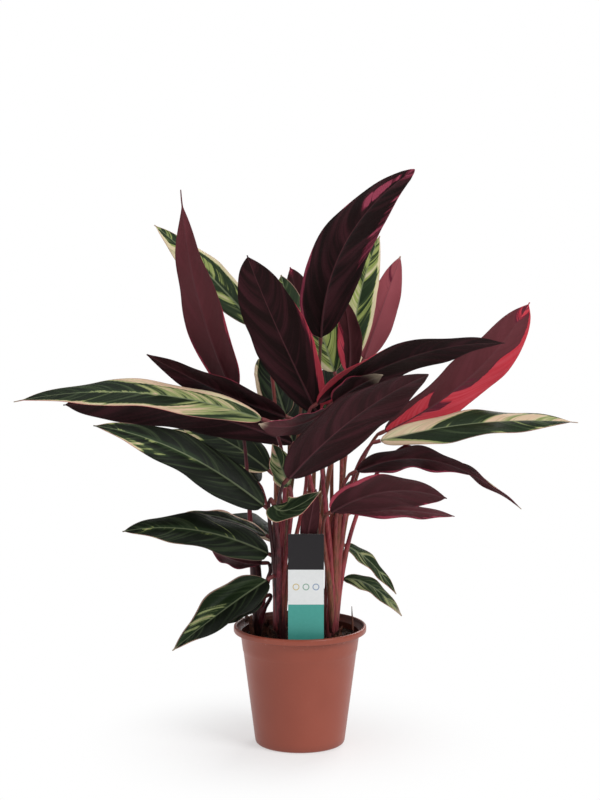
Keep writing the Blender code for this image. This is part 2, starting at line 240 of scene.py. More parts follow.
def setFloor():
    shape = bmesh.new()
    bmesh.ops.create_circle(shape, cap_ends=True, segments=96, radius=studio["floorRadius"])
    mesh = bpy.data.meshes.new("floor")
    shape.to_mesh(mesh)
    shape.free()
    floor = bpy.data.objects.new("floor", mesh)
    floor.location.z = -0.0006
    bpy.context.scene.collection.objects.link(floor)
    material, tree, shader = startMaterial("pale floor", Roughness=0.7)
    place = apart(tree, addNode(tree, "ShaderNodeTexCoord").outputs["Object"])
    away = distance(tree, place[0], place[1])
    paper = grain(tree, addNode(tree, "ShaderNodeTexCoord").outputs["Object"], 40.0, 4.0)
    plug(tree, mixColor(tree, paper, (0.98, 0.98, 0.98, 1), (1.0, 1.0, 1.0, 1)), shader.inputs["Base Color"])
    glow = addNode(tree, "ShaderNodeEmission")
    glow.inputs["Strength"].default_value = studio["backdrop"]
    faded = addNode(tree, "ShaderNodeMixShader")
    plug(tree, rise(tree, away, 0.07, 0.30, 0.50, 1.0), faded.inputs[0])
    plug(tree, shader.outputs[0], faded.inputs[1])
    plug(tree, glow.outputs[0], faded.inputs[2])
    plug(tree, faded.outputs[0], tree.nodes["Material Output"].inputs["Surface"])
    mesh.materials.append(material)


bpy.context.scene.view_settings.view_transform = "Standard"
setCamera()
setLight()
setFloor()
print("studio ready")


# the plant's layout, in millimetres and degrees
# a shoot: where it leaves the soil, how high its crown of sheaths reaches, and how far that leans
Shoot = namedtuple("Shoot", "x y crown leanX leanY")
shoots = {
    "left": Shoot(-52, 14, 130, -9, 2),
    "front": Shoot(-26, -22, 160, -2, -6),
    "right": Shoot(41, -12, 150, 6, -4),
    "middle": Shoot(10, 14, 180, 2, -4),
    "rearLeft": Shoot(-26, 46, 140, -4, 6),
    "rearRight": Shoot(38, 44, 140, 5, 5),
}
# a blade: its shoot, foot, tip, how far its midrib bows, where its upper side faces, width, edge wave,
# how fast it narrows to tip and foot, width of a rolled tip's end, and the share drawn out to a drip tip
Blade = namedtuple("Blade", "shoot foot tip bow faces width wave taper base blunt tail",
                   defaults=(0.76, 0.55, 0, 0.015))
blades = {
    "01": Blade("left", (-85, 18, 453), (-149, -10, 712), (-12, -10, 0), (60, 20), 62, 3, 0.92, 0.5, 0, 0.08),
    "02": Blade("rearLeft", (-57, 30, 538), (-189, 90, 663), (0, 0, 6), (-70, 35), 50, 2, 0.90),
    "03": Blade("middle", (22, -60, 437), (-63, -150, 639), (-7, 10, 8), (80, 25), 76, 2, 0.60),
    "04": Blade("middle", (26, -20, 528), (138, -110, 740), (-26, 0, 16), (110, 30), 78, 2, 0.76, 0.5, 13),
    "05": Blade("rearRight", (68, 20, 497), (103, 70, 650), (-9, 0, 0), (-100, 25), 46, 2),
    "06": Blade("rearRight", (83, 60, 492), (131, 100, 622), (0, 0, 0), (100, 10), 44, 2),
    "07": Blade("middle", (62, -12, 482), (55, -12, 576), (4, 0, 0), (80, 10), 32, 2),
    "08": Blade("rearLeft", (0, 50, 465), (-25, 120, 596), (0, 0, 10), (-100, 30), 48, 2),
    "09": Blade("middle", (-19, 2, 424), (-191, -46, 509), (0, 4, -5), (80, 30), 46, 3, 0.80, 0.55, 3),
    "10": Blade("front", (-48, -62, 430), (-352, -90, 455), (0, 0, 22), (-90, 64), 64, 3, 0.78, 0.5, 0, 0.04),
    "11": Blade("front", (-10, -22, 394), (-297, -36, 444), (0, 0, 19), (90, 26), 60, 3, 0.44),
    "12": Blade("front", (-45, -80, 324), (-250, -135, 432), (0, 0, 18), (-100, 47), 62, 3, 0.85, 0.45),
    "13": Blade("front", (-40, -40, 255), (-220, -90, 293), (0, 0, 16), (-95, 46), 54, 4, 0.74, 0.42),
    "14": Blade("left", (-44, -4, 272), (-152, -8, 300), (0, 0, 9), (-90, 74), 38, 2),
    "15": Blade("front", (-42, -45, 222), (-158, -110, 147), (0, 0, 3), (-120, 45), 52, 3, 0.90, 0.45),
    "16": Blade("left", (-48, -20, 194), (-112, -50, 163), (0, 0, 3), (-100, 60), 36, 2),
    "17": Blade("front", (-32, -112, 330), (25, -150, 354), (-10, 0, -14), (-90, 50), 38, 2, 0.70, 0.45),
    "18": Blade("front", (-14, -95, 361), (152, -190, 501), (0, 0, 15), (100, 40), 80, 3, 0.76, 0.55, 9),
    "19": Blade("right", (22, -72, 451), (247, -130, 532), (0, 0, 21), (95, 50), 66, 3, 0.84),
    "20": Blade("right", (42, -75, 453), (101, -110, 491), (0, 0, 4), (90, 50), 42, 2),
    "21": Blade("right", (110, 40, 400), (290, 0, 570), (15, 0, -13), (100, 30), 70, 3, 0.48),
    "22": Blade("right", (102, -30, 398), (350, -30, 421), (0, 0, 11), (-90, 64), 60, 3, 0.76, 0.5, 0, 0.04),
    "23": Blade("right", (144, -15, 386), (278, -50, 314), (0, 0, 10), (95, 62), 34, 3, 0.95, 0.55, 0, 0.03),
    "24": Blade("right", (40, -60, 313), (177, -160, 347), (0, 0, 18), (90, 38), 68, 2, 0.58),
    "25": Blade("right", (57, -30, 307), (190, -110, 316), (0, 0, 6), (90, 50), 48, 2),
    "26": Blade("rearRight", (58, 30, 252), (126, 50, 183), (0, 0, 10), (-60, 50), 25, 2),
    "27": Blade("right", (56, 0, 214), (130, -20, 170), (0, 0, 14), (-60, 50), 26, 2),
    "28": Blade("front", (-14, -70, 347), (-34, -100, 404), (0, 0, 0), (-60, 20), 36, 2),
    "29": Blade("right", (31, -80, 442), (-49, -190, 442), (0, 0, -10), (130, 35), 34, 2),
    "30": Blade("rearLeft", (-19, 35, 422), (-48, 75, 508), (0, 0, 0), (-80, 30), 44, 2),
    "31": Blade("rearLeft", (-41, 40, 349), (-158, 90, 401), (0, 0, 10), (-80, 40), 60, 2),
    "32": Blade("middle", (44, 34, 478), (6, 44, 590), (0, 0, 0), (-90, 20), 50, 2),
    "33": Blade("middle", (7, -52, 266), (20, -66, 342), (0, 0, 0), (90, 10), 22, 1),
    "34": Blade("rearLeft", (-10, 60, 380), (-45, 270, 470), (0, 0, 30), (-80, 65), 70, 3),
    "35": Blade("rearRight", (45, 60, 400), (90, 260, 488), (0, 0, 30), (-110, 60), 72, 3),
    "36": Blade("rearLeft", (-55, 55, 330), (-190, 220, 370), (0, 0, 30), (-50, 60), 70, 3),
    "37": Blade("rearRight", (48, 55, 282), (140, 210, 304), (0, 0, 22), (-120, 60), 60, 3),
    "38": Blade("rearLeft", (-30, 60, 250), (-140, 190, 250), (0, 0, 22), (-50, 60), 60, 3),
    "39": Blade("rearRight", (20, 60, 230), (30, 220, 200), (0, 0, 26), (-90, 60), 54, 3),
    "40": Blade("rearRight", (16, 74, 470), (-13, 150, 604), (0, 0, 8), (80, 30), 60, 3),
    "41": Blade("right", (72, -40, 361), (221, -46, 355), (0, 0, 20), (95, 42), 46, 4),
    "42": Blade("left", (-50, -6, 236), (-112, -44, 262), (0, 0, -5), (90, 50), 38, 2),
}

# how each blade is coloured. left and right: how much of that half (seen from the front) is streaked with
# pale; pink: how rosy the pale parts are; warm: how light the maroon side is, and also how light the green
# side is, where it is painted light and shade, the leaves in the shade of others a darker green; dry: the
# share of the tip that is dry; patches: pale areas that follow the veins, each with its half, its reach along
# the midrib (from, to), across (from, to) and how pale it is; curl: how far the left and right edges roll up
# (down if negative)
Paint = namedtuple("Paint", "left right pink warm dry patches curl", defaults=(0.0, (), (0.0, 0.0)))
left, right, both = -1, 1, 0
paints = {
    "01": Paint(0.05, 0.05, 0.45, 0.34, 0.00, ((left, 0, 0.10, 0.86, 1, 0.7),
                                               (right, 0, 0.16, 0.84, 1, 0.6))),
    "02": Paint(0.34, 0.32, 0.1, 0.30, 0.00, ((left, 0.3, 1, 0.6, 1, 0.9), (right, 0, 0.6, 0.75, 1, 0.9),
                                              (both, 0, 0.6, 0.1, 0.6, 0.44))),
    "03": Paint(0.00, 0.00, 0.75, 0.03, 0.00, ((right, 0, 0.05, 0.60, 1, 1.0),
                                               (right, 0, 0.30, 0.80, 1, 0.48))),
    "04": Paint(0.00, 0.02, 0.15, 0.02, 0.00, ((left, 0, 0.10, 0.86, 1, 0.6),
                                               (left, 0.36, 0.44, 0.93, 1, 0.7),
                                               (left, 0.66, 0.95, 0.10, 0.55, 0.62),
                                               (both, 0.90, 1, 0, 1, 0.5),
                                               (right, 0.1, 0.75, 0.72, 1, 0.50))),
    "05": Paint(0.46, 0.42, 0.0, 0.40, 0.00, ((right, 0, 1, 0.76, 1, 0.8), (left, 0.3, 1, 0.8, 1, 0.6))),
    "06": Paint(0.20, 0.06, 0.45, 0.90, 0.03, ((left, 0, 0.4, 0, 1, 0.3),)),
    "07": Paint(0.16, 0.00, 0.7, 0.16, 0.00, ((left, 0, 0.45, 0.45, 1, 0.62),)),
    "08": Paint(0.38, 0.26, 0.0, 0.30, 0.00),
    "09": Paint(0.00, 0.00, 0.4, 0.05, 0.00, ((left, 0.1, 0.4, 0.94, 1, 0.5),)),
    "10": Paint(0.16, 0.16, 0.6, 0.20, 0.03, ((left, 0, 0.42, 0.60, 1, 0.95), (left, 0, 0.44, 0, 0.6, 0.44),
                                              (right, 0, 0.26, 0, 1, 0.44), (right, 0.1, 1, 0.84, 1, 0.8),
                                              (left, 0.42, 1, 0.92, 1, 0.5),
                                              (both, 0.4, 0.75, 0, 0.12, 0.46))),
    "11": Paint(0.00, 0.00, 0.8, 0.04, 0.00),
    "12": Paint(0.04, 0.04, 0.5, 0.02, 0.00, ((right, 0.50, 0.92, 0.82, 1, 0.7),
                                              (left, 0.62, 1, 0.7, 1, 0.38),
                                              (right, 0.45, 0.9, 0.5, 0.8, 0.44),
                                              (both, 0.35, 0.9, 0, 0.2, 0.28))),
    "13": Paint(0.14, 0.12, 0.3, 0.06, 0.00, ((right, 0.3, 0.95, 0.96, 1, 0.5),
                                              (both, 0.2, 0.9, 0, 0.22, 0.26))),
    "14": Paint(0.10, 0.08, 0.9, 0.20, 0.00, ((left, 0, 1, 0.7, 1, 0.9),)),
    "15": Paint(0.20, 0.04, 0.8, 0.04, 0.05, ((left, 0.35, 1, 0.1, 0.9, 0.30),
                                              (right, 0.6, 1, 0.85, 1, 0.4)), curl=(0.8, 0.0)),
    "16": Paint(0.05, 0.05, 0.5, 0.06, 0.00),
    "17": Paint(0.20, 0.20, 0.9, 0.20, 0.06, ((both, 0, 1, 0.94, 1, 0.6),), curl=(0.3, 0.0)),
    "18": Paint(0.00, 0.00, 0.5, 0.07, 0.00, ((both, 0.97, 1, 0, 1, 0.4),)),
    "19": Paint(0.00, 0.02, 0.80, 0.03, 0.00, ((left, 0, 0.08, 0.55, 1, 1.1),
                                               (right, 0, 0.06, 0.5, 1, 0.8))),
    "20": Paint(0.04, 0.04, 0.4, 0.05, 0.34, ((both, 0, 0.3, 0.8, 1, 0.5),)),
    "21": Paint(0.04, 0.10, 1.0, 0.34, 0.00, ((right, 0, 0.60, 0.42, 1, 1.2),
                                              (right, 0, 0.55, 0.02, 0.5, 0.60),
                                              (left, 0, 0.24, 0, 0.6, 1.0),
                                              (right, 0.55, 0.95, 0.8, 1, 0.9),
                                              (both, 0.86, 1, 0, 1, 0.48))),
    "22": Paint(0.22, 0.20, 0.5, 0.20, 0.03, ((left, 0, 0.22, 0, 1, 1.0), (left, 0.50, 1, 0.0, 0.85, 0.62),
                                              (right, 0, 0.03, 0, 1, 0.9),
                                              (right, 0.3, 0.9, 0.8, 1, 0.44))),
    "23": Paint(0.02, 0.04, 0.2, 0.18, 0.05, ((both, 0.3, 1, 0.75, 1, 0.36),)),
    "24": Paint(0.00, 0.02, 0.45, 0.17, 0.00, ((left, 0, 0.14, 0.72, 1, 0.9),
                                               (right, 0.2, 1, 0.9, 1, 0.5))),
    "25": Paint(0.04, 0.12, 0.35, 0.26, 0.00, ((right, 0.0, 1, 0.74, 1, 0.62),)),
    "26": Paint(0.32, 0.26, 0.9, 0.30, 0.03, ((both, 0, 1, 0.94, 1, 0.5),)),
    "27": Paint(0.34, 0.34, 0.9, 0.30, 0.14, ((both, 0, 1, 0.94, 1, 0.5),)),
    "28": Paint(0.42, 0.50, 0.9, 0.40, 0.05, ((both, 0, 1, 0.7, 1, 0.5),)),
    "29": Paint(0.02, 0.02, 0.2, 0.16, 0.14, ((left, 0, 1, 0.92, 1, 0.6),)),
    "30": Paint(0.08, 0.12, 0.2, 0.20, 0.00, ((both, 0, 1, 0.90, 1, 0.5),)),
    "31": Paint(0.16, 0.12, 0.3, 0.20, 0.00, ((both, 0.5, 1, 0.5, 1, 0.6), (right, 0, 0.6, 0.8, 1, 0.7))),
    "32": Paint(0.48, 0.44, 0.0, 0.30, 0.00, ((both, 0, 1, 0.84, 1, 0.5),)),
    "33": Paint(0.00, 0.06, 0.8, 0.14, 0.00),
    "34": Paint(0.18, 0.10, 0.4, 0.20, 0.00, ((left, 0, 0.5, 0.4, 1, 0.9), (right, 0.5, 1, 0.7, 1, 0.8))),
    "35": Paint(0.10, 0.20, 0.4, 0.16, 0.00, ((right, 0.2, 0.7, 0.3, 1, 0.9), (left, 0.6, 1, 0.7, 1, 0.7))),
    "36": Paint(0.20, 0.16, 0.3, 0.20, 0.00, ((left, 0.3, 1, 0.55, 1, 0.9),)),
    "37": Paint(0.14, 0.16, 0.5, 0.20, 0.00, ((right, 0, 0.5, 0.3, 1, 0.9), (both, 0.5, 1, 0.85, 1, 0.7))),
    "38": Paint(0.20, 0.12, 0.3, 0.20, 0.00, ((left, 0, 0.6, 0.5, 1, 0.8),)),
    "39": Paint(0.16, 0.16, 0.5, 0.20, 0.00, ((both, 0.4, 1, 0.7, 1, 0.8),)),
    "40": Paint(0.02, 0.04, 0.6, 0.10, 0.00, ((both, 0.86, 1, 0, 1, 0.5),)),
    "41": Paint(0.00, 0.06, 0.25, 0.10, 0.00, ((right, 0, 1, 0.84, 1, 0.7),)),
    "42": Paint(0.00, 0.08, 0.30, 0.12, 0.00, ((right, 0, 1, 0.84, 1, 0.6),)),
}

leafForm = {
    "skin": 0.00050,  # thickness of the blade
    "rib": 0.0020,  # thickness at the foot of the midrib
    "footWidth": 0.0050,
    "tipWidth": 0.0016,
    "pointSlope": 1.1,
    "fold": 0.22,
    "droop": 0.26,
    "ripples": 2.4,
    "rowSpacing": 0.0032,
    "columns": 28,
    "veinLean": 0.9,  # how far a side vein runs forward for each step outwards, at the midrib
    "veinSweep": 1.5,  # and how much further it bends forward towards the edge
    "pleat": 0.00034,
    "pleatSpacing": 0.0078,
    "groove": 0.0006,
    "grooveWidth": 0.0016,
    "ridgeWidth": 0.0013,
    "unevenness": 0.0009,
}


# leaf blades
def ribPoint(blade, s):
    foot, tip, bow = Vector(blade.foot) * mm, Vector(blade.tip) * mm, Vector(blade.bow) * mm
    return foot + (tip - foot) * s + bow * 4 * s * (1 - s)


def ribDirection(blade, s):
    foot, tip, bow = Vector(blade.foot), Vector(blade.tip), Vector(blade.bow)
    return ((tip - foot) + bow * 4 * (1 - 2 * s)).normalized()


def halfWidth(blade, s):  # lance-shaped, pointed and drawn out to a drip tip
    length = (Vector(blade.tip) - Vector(blade.foot)).length * mm
    q = min(s / (1 - blade.tail), 1.0)
    widest = blade.base / (blade.base + blade.taper)
    body = blade.width * mm / 2 * (q / widest) ** blade.base * ((1 - q) / (1 - widest)) ** blade.taper
    point = leafForm["pointSlope"] * length * (1 - q) + mm
    body /= (1 + (body / point) ** 3) ** (1 / 3)
    rolled = blade.blunt * mm * min(1.0, (1 - s) / 0.05) ** 0.5
    least = leafForm["footWidth"] / 2 * (1 - s) + (leafForm["tipWidth"] + rolled) / 2 * s
    return math.hypot(body, least)


def ribFrame(blade, s):  # along, across and the way the upper side faces
    along = ribDirection(blade, s)
    bearing, height = (math.radians(angle) for angle in blade.faces)
    level = Vector((math.cos(bearing), math.sin(bearing), 0.0))
    faces = level * math.cos(height) + upright * math.sin(height)
    normal = (faces - along * faces.dot(along)).normalized()
    return along, normal.cross(along), normal


def paleShare(paint, side, along, reach):
    pale = paint.left if side == left else paint.right
    for half, start, end, inner, outer, amount in paint.patches:
        if half in (both, side):
            within = smooth(start - 0.05, start + 0.05, along) if start > 0 else 1.0
            within *= 1 - smooth(end - 0.08, end + 0.08, along) if end < 1 else 1.0
            within *= smooth(inner - 0.10, inner + 0.10, reach) if inner > 0 else 1.0
            within *= 1 - smooth(outer - 0.10, outer + 0.10, reach) if outer < 1 else 1.0
            pale = max(pale, amount * within)
    return pale


def leafShape(number, blade, paint):
    length = (Vector(blade.tip) - Vector(blade.foot)).length * mm
    rows = max(20, round(length / leafForm["rowSpacing"]))
    seed = int(number) * 3.7
    _, across, _ = ribFrame(blade, 0.4)
    leftIsMinus = across.dot(Vector((-0.6, 0.0, 0.8))) < 0
    sheet = bmesh.new()
    bmesh.ops.create_grid(sheet, x_segments=rows, y_segments=leafForm["columns"], size=1.0)
    frames = {}
    maps, paintShares, edges, thickness = [], [], [], []
    for vertex in sheet.verts:
        s = (vertex.co.x + 1) / 2
        v = math.copysign(abs(vertex.co.y) ** 1.25, vertex.co.y)
        key = round(s * rows)
        if key not in frames:
            frames[key] = (*ribFrame(blade, s), ribPoint(blade, s), halfWidth(blade, s))
        _, across, normal, rib, half = frames[key]
        onLeft = (v < 0) == leftIsMinus
        reach = abs(v)
        body = math.sin(math.pi * min(s, 0.97)) ** 0.5
        half *= 1 + 0.035 * body * noise.noise((s * 9, seed, 4.0 * onLeft))
        root = s * length - half * (leafForm["veinLean"] * reach + leafForm["veinSweep"] * reach ** 2.4)
        out = half * reach
        lift = half * (leafForm["fold"] * reach - leafForm["droop"] * v * v)
        phase = math.tau * (leafForm["ripples"] * s + 0.13 * (v > 0))
        lift += blade.wave * mm * math.sin(phase) * v * v * math.sin(math.pi * s)
        pleat = math.cos(math.tau * (root / leafForm["pleatSpacing"] + 0.25 * onLeft + seed))
        lift += leafForm["pleat"] * pleat * body * min(1.0, reach * 5) * (1 - reach ** 6)
        lift += leafForm["unevenness"] * body * reach * noise.noise((s * length * 28, v * half * 40, seed))
        lift -= leafForm["groove"] * (1 - s) * math.exp(-(out / leafForm["grooveWidth"]) ** 2)
        curl = paint.curl[0] if onLeft else paint.curl[1]
        rolled = max(0.0, (reach - 0.45) / 0.55) ** 2 * curl * body
        lift += half * rolled
        sideways = half * (v - math.copysign(0.35 * abs(rolled), v))
        vertex.co = rib + across * sideways + normal * lift
        side = left if onLeft else right
        pale = paleShare(paint, side, root / length, reach)
        maps.append((root, side * out, s))
        paintShares.append((pale, paint.pink, seed))
        dryness = 0.0
        if paint.dry:
            dryness = smooth(1 - paint.dry, 1.0, s + 0.03 * noise.noise((s * 40, v * 3, seed)))
        edges.append((half * (1 - reach), paint.warm * (0.7 + 0.6 * s), dryness))
        thick = leafForm["rib"] + (leafForm["skin"] - leafForm["rib"]) * s ** 0.7
        ridge = math.exp(-(out / leafForm["ridgeWidth"]) ** 2)
        thickness.append((leafForm["skin"] + (thick - leafForm["skin"]) * ridge) / leafForm["rib"])
    return sheet, maps, paintShares, edges, thickness


def makeLeaf(number, blade, paint, materials):
    sheet, maps, paintShares, edges, thickness = leafShape(number, blade, paint)
    leaf = pieceFrom(sheet, "leaf_blade_" + number, materials, "leaf", "blade_" + number)
    paintPoints(leaf.data, "leafMap", maps)
    paintPoints(leaf.data, "leafPaint", paintShares)
    paintPoints(leaf.data, "leafEdge", edges)
    group = leaf.vertex_groups.new(name="thickness")
    for index, share in enumerate(thickness):
        group.add([index], share, "REPLACE")
    pushOut(leaf, "Thickness", "SOLIDIFY", thickness=leafForm["rib"], offset=-1.0, vertex_group="thickness",
            material_offset=1, material_offset_rim=1, use_even_offset=False)


leafColors = {
    "deepGreen": tint(12, 18, 9),
    "leafGreen": tint(36, 54, 28),
    "paleGreen": tint(132, 140, 98),
    "limeGreen": tint(140, 152, 84),
    "cream": tint(206, 194, 158),
    "rosyCream": tint(206, 158, 142),
    "ribGreen": tint(112, 122, 92),
    "maroon": tint(12, 5, 5),
    # painted sheen along the veins of the underside
    "paintedSheenPlum": tint(52, 23, 29),
    "warmMaroon": tint(142, 70, 78),
    "wine": tint(92, 30, 46),
    "red": tint(192, 54, 66),
    "rosy": tint(208, 92, 104),
    "mauve": tint(136, 62, 84),
    "underRib": tint(96, 56, 62),
    "dryTip": tint(168, 152, 132),
}


# strokes that follow the side veins: how short they are across and along, a shift that keeps them apart,
# their detail, and how far they break up the pale parts
leafStrokes = {
    "fine": (105.0, 20.0, 0.0, 2.0, 0.65),
    "broad": (34.0, 22.0, 11.0, 1.0, 0.85),
    "hair": (430.0, 24.0, 23.0, 1.0, 0.30),
}


def paleness(tree, place, seed, pale):
    root, out, _ = place
    depth = calc(tree, "ADD", times(tree, calc(tree, "SIGN", out), 5.0), seed)
    field, strokes = pale, []
    for across, along, shift, detail, weight in leafStrokes.values():
        shifted = calc(tree, "ADD", depth, shift)
        spot = together(tree, times(tree, root, across), times(tree, out, along), shifted)
        stroke = grain(tree, spot, 1.0, detail)
        field = calc(tree, "MULTIPLY_ADD", calc(tree, "SUBTRACT", stroke, 0.5), weight, field)
        strokes.append(stroke)
    return field, *strokes


def ribMask(tree, place, wide, narrow):
    _, out, along = place
    width = rise(tree, along, 0.0, 1.0, wide, narrow)
    near = calc(tree, "DIVIDE", calc(tree, "ABSOLUTE", out), width)
    return rise(tree, near, 0.45, 1.0, 1.0, 0.0)


def veinHeight(tree, place, spacing, seed):
    root, out, _ = place
    wave = calc(tree, "SINE", times(tree, root, math.tau / spacing))
    spot = together(tree, times(tree, root, 900.0), times(tree, out, 260.0), seed)
    return calc(tree, "MULTIPLY_ADD", wave, 0.3, grain(tree, spot))


def upperMaterial():
    color = leafColors
    material, tree, shader = startMaterial("leaf upper side", Specular_IOR_Level=0.14)
    place = painted(tree, "leafMap")
    pale, pink, seed = painted(tree, "leafPaint")
    margin, warm, dry = painted(tree, "leafEdge")
    field, fine, broad, hair = paleness(tree, place, seed, pale)
    paintedLightShare = calc(tree, "MULTIPLY_ADD", warm, 1.6, 0.42)  # painted light and shade: leaves in the shade of others are painted a darker green
    fineAndPaintedLight = times(tree, rise(tree, fine, 0.44, 0.70), paintedLightShare)
    green = mixColor(tree, fineAndPaintedLight, color["deepGreen"], color["leafGreen"])
    green = mixColor(tree, times(tree, rise(tree, pale, 0.08, 0.30), 0.7), green, color["leafGreen"])
    green = mixColor(tree, times(tree, rise(tree, hair, 0.5, 0.62), 0.25), green, color["deepGreen"])
    brushed = times(tree, rise(tree, fine, 0.50, 0.66), rise(tree, hair, 0.38, 0.58, 0.05, 0.22))
    brushed = times(tree, brushed, rise(tree, warm, 0.0, 0.2, 0.6, 1.0))
    green = mixColor(tree, brushed, green, color["ribGreen"])
    palest = mixColor(tree, pink, color["limeGreen"], color["paleGreen"])
    shown = mixColor(tree, rise(tree, field, 0.34, 0.47), green, palest)
    rosy = times(tree, pink, rise(tree, broad, 0.32, 0.56))
    creamy = mixColor(tree, rosy, color["cream"], color["rosyCream"])
    creamy = mixColor(tree, times(tree, rise(tree, hair, 0.54, 0.66), 0.5), creamy, color["paleGreen"])
    shown = mixColor(tree, rise(tree, field, 0.48, 0.62), shown, creamy)
    ribbed = times(tree, ribMask(tree, place, 0.0019, 0.0006), rise(tree, pale, 0.05, 0.3, 0.5, 0.75))
    shown = mixColor(tree, ribbed, shown, color["ribGreen"])
    rimmed = times(tree, rise(tree, margin, 0.0003, 0.0010, 1.0, 0.0), rise(tree, pale, 0.02, 0.3))
    shown = mixColor(tree, times(tree, rimmed, 0.6), shown, color["rosyCream"])
    plug(tree, mixColor(tree, dry, shown, color["dryTip"]), shader.inputs["Base Color"])
    plug(tree, rise(tree, fine, 0.3, 0.7, 0.42, 0.54), shader.inputs["Roughness"])
    plug(tree, relief(tree, veinHeight(tree, place, 0.0026, seed), 0.00022, 0.7), shader.inputs["Normal"])
    return material


def underMaterial():
    color = leafColors
    material, tree, shader = startMaterial("leaf underside", Specular_IOR_Level=0.08, Sheen_Weight=0.02)
    place = painted(tree, "leafMap")
    pale, pink, seed = painted(tree, "leafPaint")
    margin, warm, dry = painted(tree, "leafEdge")
    field, fine, broad, hair = paleness(tree, place, seed, pale)
    # painted sheen: plum streaks along the veins over the maroon
    dark = mixColor(tree, rise(tree, broad, 0.46, 0.72), color["maroon"], color["paintedSheenPlum"])
    dark = mixColor(tree, times(tree, rise(tree, fine, 0.50, 0.64), 0.45), dark, color["paintedSheenPlum"])
    dark = mixColor(tree, times(tree, rise(tree, hair, 0.50, 0.66), 0.4), dark, color["maroon"])
    dark = mixColor(tree, warm, dark, color["warmMaroon"])
    shown = mixColor(tree, rise(tree, field, 0.36, 0.50), dark, color["wine"])
    bright = mixColor(tree, times(tree, rise(tree, hair, 0.42, 0.64), 0.35), color["red"], color["rosy"])
    bright = mixColor(tree, pink, color["mauve"], bright)
    shown = mixColor(tree, rise(tree, field, 0.50, 0.62), shown, bright)
    shown = mixColor(tree, times(tree, ribMask(tree, place, 0.0012, 0.0004), 0.45), shown, color["underRib"])
    rimmed = times(tree, rise(tree, margin, 0.0003, 0.0011, 1.0, 0.0), rise(tree, pale, 0.2, 0.6))
    shown = mixColor(tree, times(tree, rimmed, 0.7), shown, bright)
    plug(tree, mixColor(tree, dry, shown, color["dryTip"]), shader.inputs["Base Color"])
    plug(tree, rise(tree, fine, 0.3, 0.7, 0.46, 0.58), shader.inputs["Roughness"])
    plug(tree, relief(tree, veinHeight(tree, place, 0.0024, seed), 0.00028, 0.8), shader.inputs["Normal"])
    return material


leafMaterials = (upperMaterial(), underMaterial())
for number, blade in blades.items():
    makeLeaf(number, blade, paints[number], leafMaterials)
print("leaf blades made:", len(blades))


# stalks and their sheaths
stalkForm = {
    "crownRadius": 0.0088,
    "crownTopRadius": 0.0062,
    "stalkRadius": 0.0036,
    "stalkTopRadius": 0.0021,
    "jointRadius": 0.0027,
    "jointLength": 0.011,
    "clearance": 0.0003,
    "crownSteps": 22,
    "steps": 34,
    "sides": 14,
    "soilTop": 0.140,
    "depth": 0.035,
    "sheaths": 3,  # overlapping sheath edges round a crown
    "sheathStep": 0.0007,
}
# how each shoot is coloured, from 0 maroon over rosy and orange-brown to 1 olive, and how much its stalks
# vary
shootHues = {
    "left": (-0.04, 0.22),
    "front": (0.18, 0.72),
    "right": (0.50, 0.50),
    "middle": (0.78, 0.50),
    "rearLeft": (0.70, 0.50),
    "rearRight": (0.62, 0.50),
}


def crownPath(shoot):
    foot = Vector((shoot.x * mm, shoot.y * mm, stalkForm["soilTop"] - stalkForm["depth"]))
    out = Vector((shoot.x * mm, shoot.y * mm, stalkForm["soilTop"] + 0.006))
    return foot, out, out + Vector((shoot.leanX, shoot.leanY, shoot.crown)) * mm


def stalkPath(shoot, blade):
    form = stalkForm
    _, out, top = crownPath(shoot)
    root = out + Vector((0.0, 0.0, 0.002))
    foot = Vector(blade.foot) * mm
    outwards = Vector((foot.x - root.x, foot.y - root.y, 0.0)).normalized()
    start = root + outwards * (form["crownRadius"] - form["stalkRadius"] - 0.0006)
    aim = ribDirection(blade, 0.0)
    collar = foot - aim * form["jointLength"]
    reach = (collar - start).length
    arriving = (aim + (collar - start).normalized()).normalized()
    first = start + (top - out).normalized() * 0.45 * reach
    second = collar - arriving * 0.22 * reach
    points, radii, shares = [], [], []
    for index in range(form["steps"] + 1):
        t = index / form["steps"]
        a, b, c, d = (1 - t) ** 3, 3 * t * (1 - t) ** 2, 3 * t * t * (1 - t), t ** 3
        points.append(start * a + first * b + second * c + collar * d)
        radii.append(form["stalkRadius"] + (form["stalkTopRadius"] - form["stalkRadius"]) * t ** 0.6)
        shares.append(t * 0.9)
    for index in range(1, 9):
        t = index / 8
        points.append(collar + aim * (form["jointLength"] - form["clearance"]) * t)
        swell = math.sin(math.pi * min(1.0, t * 0.62 + 0.12))
        radii.append(form["stalkTopRadius"] + (form["jointRadius"] - form["stalkTopRadius"]) * swell)
        shares.append(0.9 + t * 0.1)
    return points, radii, shares


def addTube(shape, points, radii, sides, bulge):
    # rings carried along the path without twist; bulge(share, turn) swells the ring at a turn round it
    ahead = (points[1] - points[0]).normalized()
    side = ahead.orthogonal().normalized()
    rings, spots = [], []
    for index, (point, radius) in enumerate(zip(points, radii)):
        before, after = points[max(index - 1, 0)], points[min(index + 1, len(points) - 1)]
        ahead = (after - before).normalized()
        side = (side - ahead * side.dot(ahead)).normalized()
        other = ahead.cross(side)
        share = index / (len(points) - 1)
        ring = []
        for step in range(sides):
            turn = step / sides
            swell = radius * bulge(share, turn)
            spoke = side * math.cos(math.tau * turn) + other * math.sin(math.tau * turn)
            ring.append(shape.verts.new(point + spoke * swell))
            spots.append((share, turn))
        rings.append(ring)
    for lower, higher in zip(rings, rings[1:]):
        for step in range(sides):
            after = (step + 1) % sides
            shape.faces.new((lower[step], lower[after], higher[after], higher[step]))
    shape.faces.new(list(reversed(rings[0])))
    shape.faces.new(rings[-1])
    return spots


